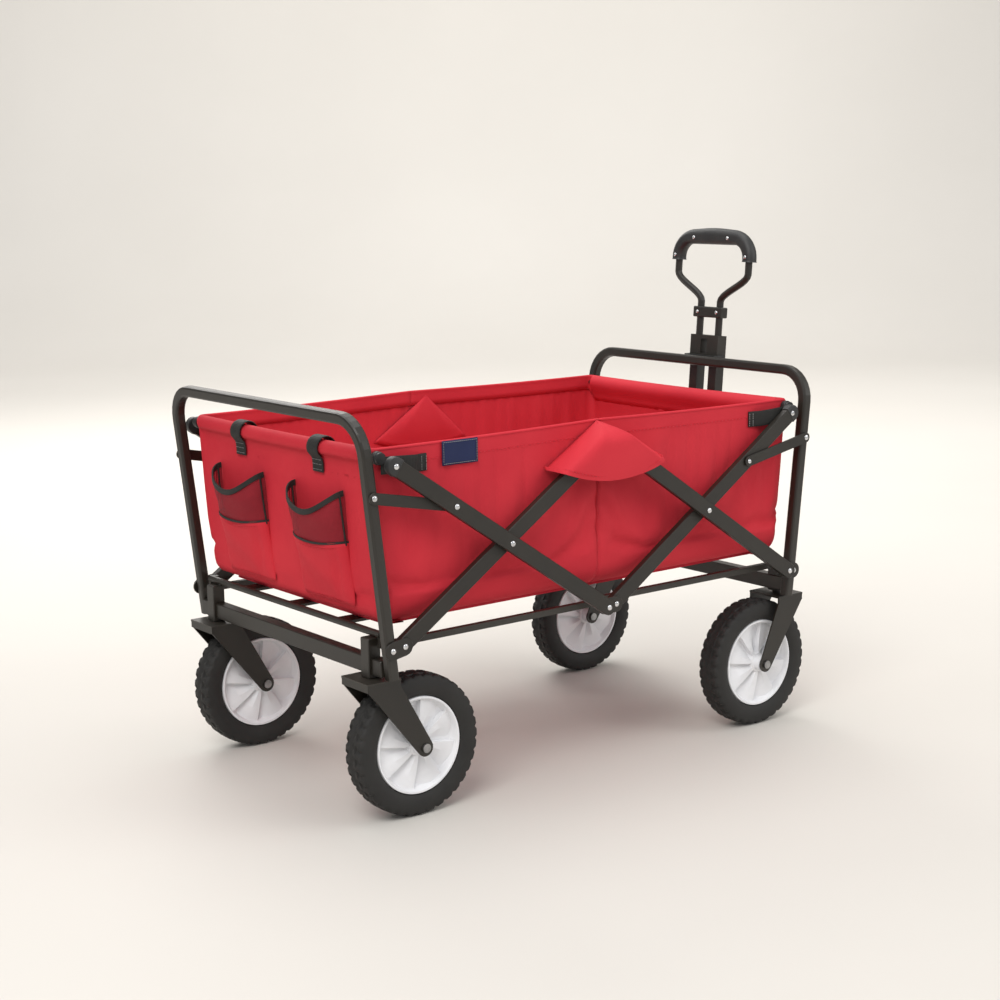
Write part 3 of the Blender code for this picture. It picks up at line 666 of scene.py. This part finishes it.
def make_pocket(side):
    """A drink pocket: a cloth pouch below, netting above, and a bound rim that stands open."""
    centre_y = side * POCKET_Y
    word = SIDES[side]
    us = [0.5 - 0.5 * math.cos(math.pi * i / 30) for i in range(31)]

    def rim_z(u):
        return 0.4575 - 0.0300 * math.sin(math.pi * u) ** 0.8

    def belt_z(u):
        return 0.3900 - 0.0060 * math.sin(math.pi * u)

    def depth(u, z):
        rise = max(0.0, min(1.0, (z - 0.300) / 0.125))
        out = 0.0040 + 0.0290 * rise ** 0.75
        shape = (1 - abs(2 * u - 1) ** 2.6) ** (1 / 2.2)
        return out * shape

    def place(u, z, lift=0.0):
        half = 0.0650 - 0.0030 * (z - 0.30) / 0.15
        return at(-(wall_x(z) + 0.0012 + depth(u, z) + lift), centre_y + half * (1 - 2 * u), z)

    def sewn_row(name, points):
        return stitches(name, points, lambda i: Vector((-1, 0, 0)), THREAD_RED)

    lower = []
    for k in range(15):
        row = []
        for u in us:
            rise = k / 14
            z = POCKET_FOOT + (belt_z(u) - POCKET_FOOT) * rise
            crease = 0.0035 * math.exp(-(((u - 0.80 - 0.10 * rise) / 0.045) ** 2)) * math.sin(math.pi * rise)
            row.append(place(u, z, -crease + 0.0010 * math.sin(8 * u + 0.5 * k)))
        lower.append(row)
    pouch = grid_piece(f"drink_pocket_pouch_{word}", lower, CLOTH, flat_angle=70)
    thicken(pouch, PATCH_THICKNESS, 0.0)
    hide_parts(f"drink_pocket_{word}")
    upper = []
    for k in range(11):
        row = []
        for u in us:
            z = belt_z(u) - 0.003 + (rim_z(u) - belt_z(u) + 0.003) * k / 10
            row.append(place(u, z, -0.0006 + 0.0006 * math.sin(9 * u + k)))
        upper.append(row)
    net = grid_piece(f"drink_pocket_net_{word}", upper, MESH, flat_angle=70)
    binding = [place(u, rim_z(u), 0.0004) for u in us]
    bands = [ribbon("rim", binding, 0.0042, Vector((0, 0, 1)), 0.0026, WEBBING)]
    for u in (0.004, 0.996):
        line = [place(u, z, 0.0008) for z in [0.3850 + 0.0072 * i for i in range(11)]]
        bands.append(ribbon("edge", line, 0.0022, Vector((0, 1, 0)), 0.0016, WEBBING))
    belt = [place(u, belt_z(u) - 0.0004, 0.0006) for u in us]
    bands.append(ribbon("belt", belt, 0.0016, Vector((0, 0, 1)), 0.0018, WEBBING))
    bound = merged(f"drink_pocket_binding_{word}", bands)
    hem = sewn_row(f"drink_pocket_stitches_{word}", [place(u, belt_z(u) - 0.0075, 0.0009) for u in us])
    base = sewn_row(f"drink_pocket_base_stitches_{word}", [place(u, 0.3020, 0.0010) for u in us])
    for piece in (pouch, net, bound, hem, base):
        soft_on_tub(piece, -1)


def make_straps():
    """Webbing loops over the rear hem."""
    for side, word in SIDES.items():
        y = side * POCKET_Y
        path = []
        for angle in range(215, -36, -16):
            turn = math.radians(angle)
            radius = HEM_RADIUS + 0.0032
            x, z = HEM_X + 0.0010 + radius * math.cos(turn), HEM_Z + 0.0005 + radius * math.sin(turn)
            path.append(at(-x, y, z))
        for z, out in ((0.4990, 0.0008), (0.4940, 0.0002), (0.4880, 0.0004), (0.4800, 0.0010)):
            path.append(at(-(wall_x(z) - 0.0020 + out), y, z))
        strap = ribbon(f"hem_strap_{word}", path, 0.0135, Vector((0, 1, 0)), 0.0020, WEBBING)
        on_tub(strap, -1)
        lines = []
        for z in (0.4975, 0.4910, 0.4835):
            line = [at(-(wall_x(z) + 0.0006), y + d, z) for d in (-0.0120, -0.004, 0.004, 0.0120)]
            lines.append(stitches("row", line, lambda i: Vector((-1, 0, 0)), THREAD_PALE, 0.0026, 0.0008))
        on_tub(merged(f"hem_strap_stitches_{word}", lines), -1)


def make_corner_tabs():
    """Webbing tabs on the sides, by the ends of the hem rods."""
    for way in (-1, 1):
        for side, word in SIDES.items():
            points = [
                (0.3080, 0.2385, 0.5000), (0.3180, 0.2392, 0.5000), (0.3280, 0.2440, 0.5005),
                (0.3400, 0.2475, 0.5015), (0.3540, 0.2488, 0.5025), (0.3700, 0.2475, 0.5030),
                (0.3800, 0.2450, 0.5030), (0.3850, 0.2420, 0.5030),
            ]
            path = smooth_path([at(way * x, side * yy, z) for x, yy, z in points], 4)
            tab = ribbon(f"corner_tab_{END[way]}_{word}", path, 0.0120, Vector((0, 0, 1)), 0.0020, WEBBING)
            on_tub(tab, way)
            patch = []
            for x in (0.3090, 0.3165):
                line = [at(way * x, side * 0.2400, 0.5000 + d) for d in (-0.0105, 0.0, 0.0105)]
                out = Vector((0, side, 0))
                patch.append(stitches("row", line, lambda i: out, THREAD_PALE, 0.0024, 0.0008))
            on_tub(merged(f"corner_tab_stitches_{END[way]}_{word}", patch), way)


def make_label():
    """The plain label on the right side, with a sewn edge."""
    low, high = (-0.2820, 0.4910), (-0.2210, 0.5250)
    rows = []
    for k in range(9):
        z = low[1] + (high[1] - low[1]) * k / 8
        row = []
        for i in range(11):
            row.append(at(low[0] + (high[0] - low[0]) * i / 10, -(WALL_Y + 0.0026 + 0.0006 * math.sin(i)), z))
        rows.append(row)
    label = thicken(grid_piece("side_label", rows, LABEL, flat_angle=60), 0.0008, 0.0)
    soft_on_tub(label, -1)
    inset = 0.0022
    left, right, foot, head = low[0] + inset, high[0] - inset, low[1] + inset, high[1] - inset
    ring = [(left, foot), (right, foot), (right, head), (left, head), (left, foot)]
    sewn = stitches("side_label_stitches", [at(x, -(WALL_Y + 0.0036), z) for x, z in ring],
                    lambda i: Vector((0, -1, 0)), THREAD_PALE, 0.0022, 0.0012)
    soft_on_tub(sewn, -1)


def make_floor_pad(way):
    """Half of the padded floor board: a quilted cover with piped edges."""
    columns, lines = 34, 44
    top, bottom = [], []
    for i in range(columns + 1):
        x = PAD_INNER + (PAD_OUTER - PAD_INNER) * i / columns
        for j in range(lines + 1):
            y = -PAD_HALF_Y + 2 * PAD_HALF_Y * j / lines
            edge = min(x - PAD_INNER, PAD_OUTER - x, PAD_HALF_Y - abs(y))
            crown = 0.0030 * (1 - math.exp(-edge / 0.006))
            quilt = 0.0016 * math.exp(-(((edge - 0.020) / 0.0022) ** 2))
            top.append(at(way * x, y, PAD_HIGH + crown - quilt - 0.0022 * math.exp(-edge / 0.0012)))
            bottom.append(at(way * x, y, PAD_LOW))
    wide = lines + 1
    faces = grid_faces(columns + 1, wide)
    offset = len(top)
    faces += [tuple(offset + k for k in reversed(f)) for f in faces]
    border = list(range(wide)) + [i * wide + lines for i in range(1, columns + 1)]
    border += [columns * wide + j for j in range(lines - 1, -1, -1)]
    border += [i * wide for i in range(columns - 1, 0, -1)]
    for a, b in zip(border, border[1:] + border[:1]):
        faces.append((a, b, b + offset, a + offset))
    pad = mesh_piece(f"{END[way]}_floor_cushion", top + bottom, faces, PAD, 60)
    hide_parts(f"{END[way]}_floor_pad")
    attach(pad, f"{END[way]}_floor")


# ---------------------------------------------------------------- wheels


def tyre_profile():
    half = TYRE_HALF_WIDTH
    side = [
        (RIM_RADIUS + 0.0002, 0.60 * half), (RIM_RADIUS + 0.0016, 0.80 * half),
        (RIM_RADIUS + 0.0050, 0.885 * half),
        (0.0790, 0.965 * half), (0.0850, 0.995 * half), (0.0905, 0.990 * half), (0.0930, 0.960 * half),
        (0.0945, 0.955 * half), (0.0975, 0.925 * half), (0.0998, 0.830 * half), (0.1008, 0.660 * half),
        (0.1010, 0.640 * half), (0.1012, 0.340 * half), (0.1013, 0.300 * half), (0.1015, 0.100 * half),
    ]
    return side + [(r, -s) for r, s in reversed(side)]


TREAD_STEPS = 144


def tread(i, k, radius, side):
    """Shoulder blocks with narrow slots, staggered from side to side, and a wavy centre groove."""
    left = k < 15
    edge = k if left else 29 - k
    cell = (i + (0 if left else 2)) % 4
    if edge in (8, 9, 10) and cell == 0:
        radius -= 0.0024
        side *= 0.965
    if edge == 7 and cell == 0:
        side *= 0.985
    if edge in (11, 12) and cell in (0, 1):
        radius -= 0.0022
    if edge == 14 and i % 4 in ((1, 2) if left else (3, 0)):
        radius -= 0.0022
    return radius, side


BLADE_INNER, BLADE_OUTER = 0.0135, 0.0645


def make_wheel(end, side):
    """A tyre with its tread, and a rim and hub with raised blades on both faces."""
    word = SIDES[side]
    centre = at(AXLE_X[end], side * WHEEL_Y, WHEEL_RADIUS)
    body = f"{end}_wheel_{word}"
    tyre = lathe(f"tyre_tread_{end}_{word}", tyre_profile(), TREAD_STEPS, RUBBER, centre, tread, 28)
    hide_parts(f"tyre_{end}_{word}")
    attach(tyre, body)
    rim = [
        (RIM_RADIUS, 0.0160), (RIM_RADIUS, -0.0160), (0.0692, -0.0172), (0.0668, -0.0172), (0.0655, -0.0160),
        (0.0640, -0.0120), (0.0610, -0.0060), (0.0560, -0.0040), (0.0220, -0.0050), (0.0165, -0.0085),
        (0.0150, -0.0150), (0.0125, -0.0165), (0.0118, -0.0278), (0.0052, -0.0284), (0.0052, 0.0284),
        (0.0118, 0.0278), (0.0125, 0.0165), (0.0150, 0.0150), (0.0165, 0.0085), (0.0220, 0.0050),
        (0.0560, 0.0040), (0.0610, 0.0060), (0.0640, 0.0120), (0.0655, 0.0160), (0.0668, 0.0172),
        (0.0692, 0.0172),
    ]
    parts = [lathe("rim", rim, 72, HUB_PLASTIC, centre, flat_angle=35)]
    verts, faces = [], []
    blades, steps = 8, 8
    fan = 2 * math.pi / blades * 0.94
    low = 0.0030
    for face in (-1, 1):
        for b in range(blades):
            turn = 2 * math.pi * b / blades
            base = len(verts)
            for k in range(steps + 1):
                share = k / steps
                radius = BLADE_INNER + (BLADE_OUTER - BLADE_INNER) * share
                sweep = turn + 0.10 * math.sin(math.pi * share / 2)
                height = 0.0150 - 0.0035 * share
                outline = ((sweep, low), (sweep + 0.02, height), (sweep + 0.42 * fan, height - 0.0006),
                           (sweep + 0.95 * fan, low + 0.0010))
                for angle, level in outline:
                    place = (radius * math.sin(angle), face * level, radius * math.cos(angle))
                    verts.append(centre + Vector(place))
            for k in range(steps):
                for c in range(3):
                    a = base + 4 * k + c
                    faces.append((a, a + 1, a + 5, a + 4))
                faces.append((base + 4 * k + 3, base + 4 * k, base + 4 * k + 4, base + 4 * k + 7))
            faces.append((base, base + 1, base + 2, base + 3))
            last = base + 4 * steps
            faces.append((last + 3, last + 2, last + 1, last))
    parts.append(mesh_piece("fan", verts, faces, HUB_PLASTIC, 25))
    hub = merged(f"wheel_fan_{end}_{word}", parts)
    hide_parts(f"wheel_hub_{end}_{word}")
    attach(hub, body)


# ---------------------------------------------------------------- rivets, caps and the handle


def dome(place, way, radius, height):
    """A rivet head: a low dome on a thin collar, facing along Y."""
    profile = [(radius, 0), (radius, 0.25 * height), (0.93 * radius, 0.45 * height),
               (0.75 * radius, 0.75 * height), (0.45 * radius, 0.95 * height), (0.0002, height)]
    turns = [2 * math.pi * i / 18 for i in range(18)]
    rows = []
    for r, h in profile:
        rows.append([place + Vector((r * math.cos(turn), way * h, r * math.sin(turn))) for turn in turns])
    return grid_piece("dome", rows, STEEL, wrap_columns=True, flat_angle=60)


def rivets(name, body, places, radius=RIVET_RADIUS):
    heads = [dome(at(x, y, z), 1 if y > 0 else -1, radius, RIVET_HEIGHT) for x, y, z in places]
    piece = merged(name, heads)
    piece.data.shade_smooth()
    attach(piece, body)


def make_rivets():
    for side, word in SIDES.items():
        outer, plate = side * OUTER_FACE, side * PLATE_FACE
        high = PIVOT_Z + 2 * ARM_RISE
        rivets(f"rear_outer_rivets_{word}", f"rear_outer_{word}",
               [(-CROSS_X, outer, CROSS_Z), (-HUB_X, outer, PIVOT_Z), (-TOP_X, outer, TOP_Z),
                (-LINK_MEET[0], outer, LINK_MEET[1])])
        rivets(f"front_outer_rivets_{word}", f"front_outer_{word}",
               [(CROSS_X, outer, CROSS_Z), (PIVOT_X, outer, PIVOT_Z), (HUB_X, outer, high)])
        rivets(f"rear_inner_rivets_{word}", f"rear_inner_{word}", [(-PIVOT_X, plate, PIVOT_Z)])
        rivets(f"front_inner_rivets_{word}", f"front_inner_{word}",
               [(HUB_X, plate, PIVOT_Z), (TOP_X, side * INNER_FACE, TOP_Z)])
        rivets(f"rear_leg_rivets_{word}", "rear_base",
               [(-LEG_PIN[0], plate, LEG_PIN[1]), (-LINK_PIN[0], plate, LINK_PIN[1])])
        rivets(f"front_leg_rivets_{word}", "front_base",
               [(LEG_PIN[0], plate, LEG_PIN[1]), (LINK_PIN[0], plate, LINK_PIN[1])])
        rivets(f"front_link_rivet_{word}", f"front_link_{word}",
               [(LINK_MEET[0], plate, LINK_MEET[1])], 0.0036)


def make_bar_caps():
    """Moulded caps on the tops of the long bars, and the plugs that hold the hem rods' ends."""
    heading = math.atan2(ARM_RISE, ARM_RUN)
    for way, layer, bodies in ((-1, (0.2648, 0.2762), "rear_outer"), (1, (0.2498, 0.2622), "front_inner")):
        for side, word in SIDES.items():
            outline = []
            for i in range(15):
                angle = math.radians(-90 + 180 * i / 14)
                outline.append((CAP_RADIUS * math.cos(angle) + 0.0004, CAP_RADIUS * math.sin(angle)))
            outline += [(-0.006, CAP_RADIUS), (-0.006, -CAP_RADIUS)]
            rows = []
            for depth, shrink in ((layer[0], 0.92), (layer[0] + 0.0008, 1.0), (layer[1] - 0.0012, 1.0),
                                  (layer[1] - 0.0004, 0.97), (layer[1], 0.90)):
                row = []
                for u, v in outline:
                    u, v = u * shrink, v * shrink
                    x = u * math.cos(heading) - v * math.sin(heading)
                    z = u * math.sin(heading) + v * math.cos(heading)
                    row.append(at(way * (TOP_X + x), side * depth, TOP_Z + z))
                rows.append(row)
            cap = capped_piece(f"bar_cap_{END[way]}_{word}", rows, GRIP_PLASTIC, 30)
            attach(cap, f"{bodies}_{word}")
            plug = [(0.0086, 0.2368), (0.0092, 0.2376), (0.0092, 0.2440), (0.0080, 0.2452), (0.0080, 0.2494),
                    (0.0002, 0.2496), (0.0002, 0.2366)]
            made = lathe(f"hem_plug_{END[way]}_{word}", [(r, side * s) for r, s in plug], 28, GRIP_PLASTIC,
                         at(way * HEM_X, 0, HEM_Z), flat_angle=35)
            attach(made, TUB_BODY[way])


def handle_place(out, y, s):
    """A place on the handle: out from its plane, across it, and up along its tubes from the pivot."""
    turned = Matrix.Rotation(HANDLE_LEAN, 3, "Y") @ Vector((out, y, s))
    return at(HANDLE_X + turned.x, turned.y, HANDLE_Z + turned.z)


GRIP_POWER = 0.86
GRIP_RIVETS = ((0.040, LOOP_TOP), (-0.040, LOOP_TOP),
               (LOOP_HALF, LOOP_WIDE + 0.028), (-LOOP_HALF, LOOP_WIDE + 0.028))


def make_grip():
    """The moulded grip on the loop: a fuller lower side, a parting line and square-cut sleeves."""
    half = []
    start = LOOP_WIDE + 0.020
    for i in range(4):
        half.append((LOOP_HALF, start + (LOOP_TOP - LOOP_BEND - start) * i / 4))
    for i in range(11):
        angle = math.radians(90 * i / 10)
        y, s = LOOP_BEND * math.cos(angle), LOOP_BEND * math.sin(angle)
        half.append((LOOP_HALF - LOOP_BEND + y, LOOP_TOP - LOOP_BEND + s))
    for i in range(1, 6):
        half.append(((LOOP_HALF - LOOP_BEND) * (1 - i / 5), LOOP_TOP))
    path = half + [(-y, s) for y, s in reversed(half[:-1])]
    points = [handle_place(0, y, s) for y, s in path]
    facing = handle_place(1, 0, 0) - handle_place(0, 0, 0)
    total = len(points) - 1

    def section(i):
        share = abs(2 * i / total - 1)
        swell = math.exp(-((share / 0.30) ** 2))
        flare = math.exp(-(((share - 1) / 0.05) ** 2))
        found = []
        for k in range(28):
            angle = 2 * math.pi * k / 28
            along_up, along_out = math.cos(angle), math.sin(angle)
            radius_up = 0.0108 + 0.0006 * flare
            if along_up < 0:
                radius_up += 0.0050 * swell + 0.0010
            radius_out = 0.0112 + 0.0010 * flare
            up_part = math.copysign(abs(along_up) ** GRIP_POWER, along_up) * radius_up
            out_part = math.copysign(abs(along_out) ** GRIP_POWER, along_out) * radius_out
            groove = 0.93 if k in (7, 21) else 1.0
            found.append((up_part, out_part * groove))
        return found

    grip = tube_along("moulded_grip", points, section, GRIP_PLASTIC, up=facing, flat_angle=45)
    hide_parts("handle_grip")
    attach(grip, "handle_slide")
    clamp_rivets = [(y, sum(CLAMP_S) / 2) for y in (-TUBE_Y, TUBE_Y)]
    for name, depth, places in (("grip_rivets", 0.0109, GRIP_RIVETS), ("clamp_rivets", 0.0084, clamp_rivets)):
        screws = merged(name, [handle_rivet(depth, y, s, way) for y, s in places for way in (-1, 1)])
        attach(screws, "handle_slide")


def handle_rivet(depth, y, s, way):
    """A small dome at that depth out from the middle of the handle, facing the same way."""
    head = dome(Vector((0, 0, 0)), 1, 0.0030, 0.0014)
    aim = handle_place(way, 0, 0) - handle_place(0, 0, 0)
    turn = Vector((0, 1, 0)).rotation_difference(aim).to_matrix().to_4x4()
    head.matrix_world = Matrix.Translation(handle_place(way * depth, y, s)) @ turn
    bpy.context.view_layer.update()
    return head


# ---------------------------------------------------------------- CAD nodes shown as they are


def dress_frame():
    for name, obj in NODES.items():
        if obj.hide_render:
            continue
        if name.startswith("axle"):
            finish = AXLE_STEEL
        elif name == "handle_clip":
            finish = GRIP_PLASTIC
        else:
            finish = PAINT
        obj.data.materials.clear()
        obj.data.materials.append(finish)
        # A narrow bevel rounds the sharp edges, where the paint's painted highlight sits
        edge = obj.modifiers.new("edge bevel", "BEVEL")
        edge.width = 0.0006
        edge.segments = 2
        edge.limit_method = "ANGLE"
        edge.angle_limit = math.radians(40)
        edge.use_clamp_overlap = True


# ---------------------------------------------------------------- camera, light and floor


def make_stage():
    """A plain pale floor that curves up into a backdrop, the camera and soft lights."""
    near, bend_at, bend_radius, wall_top = -20.0, 5.5, 2.5, 12.0
    outline = []
    for k in range(40):
        share = k / 39
        if share < 0.5:
            outline.append((near + (bend_at - near) * share * 2, 0.0))
        else:
            angle = math.radians(90 * (share - 0.5) * 2)
            outline.append((bend_at + bend_radius * math.sin(angle), bend_radius * (1 - math.cos(angle))))
    outline.append((bend_at + bend_radius, wall_top))
    rows = [[Vector((x, y, z)) for x in (-60, -30, 0, 30, 60)] for y, z in outline]
    floor_finish = textured("floor", (0.610, 0.582, 0.535), (0.640, 0.612, 0.565), 0.75, 0.7, 40, 0.02)
    floor = grid_piece("floor", rows, floor_finish, flat_angle=80)
    floor.rotation_euler = (0, 0, math.radians(-38))
    camera = bpy.data.cameras.new("camera")
    camera.lens = 66.36
    camera.sensor_width = 36
    eye = bpy.data.objects.new("camera", camera)
    bpy.context.scene.collection.objects.link(eye)
    right = Vector((0.7887, -0.6147, -0.0129))
    up = Vector((0.1186, 0.1314, 0.9842))
    turn = Matrix((right, up, right.cross(up).normalized())).transposed()
    eye.matrix_world = Matrix.Translation(at(-1.73939, -2.24530, 0.88753)) @ turn.to_4x4()
    bpy.context.scene.camera = eye
    for name, place, aim, size, power in (
        ("key", (-2.8, -2.0, 3.6), (0, 0, 0.3), 2.2, 120),
        ("fill", (2.6, -3.0, 2.2), (0, 0, 0.3), 2.4, 42),
        ("top", (0.3, 0.5, 3.8), (0, 0, 0.3), 3.2, 70),
        ("rim", (0.8, 3.2, 2.6), (0, 0, 0.4), 2.0, 45),
        ("wash", (2.1, 2.7, 4.4), (4.6, 5.9, 0.8), 4.5, 230),
    ):
        lamp = bpy.data.lights.new(name, "AREA")
        lamp.size = size
        lamp.energy = power
        lamp.color = (1.0, 0.985, 0.965)
        obj = bpy.data.objects.new(name, lamp)
        obj.location = place
        obj.rotation_euler = (Vector(aim) - Vector(place)).to_track_quat("-Z", "Y").to_euler()
        bpy.context.scene.collection.objects.link(obj)
    world = bpy.data.worlds.new("studio")
    world.use_nodes = True
    shade = world.node_tree.nodes["Background"]
    shade.inputs["Color"].default_value = (0.93, 0.95, 1.0, 1)
    shade.inputs["Strength"].default_value = 0.62
    bpy.context.scene.world = world
    bpy.context.scene.view_settings.view_transform = "Standard"


make_stage()
for way in (-1, 1):
    make_tub(way)
    make_floor_pad(way)
for side in SIDES:
    make_flap(side)
    make_pocket(side)
    for end in ("rear", "front"):
        make_wheel(end, side)
make_straps()
make_corner_tabs()
make_label()
make_rivets()
make_bar_caps()
make_grip()
dress_frame()
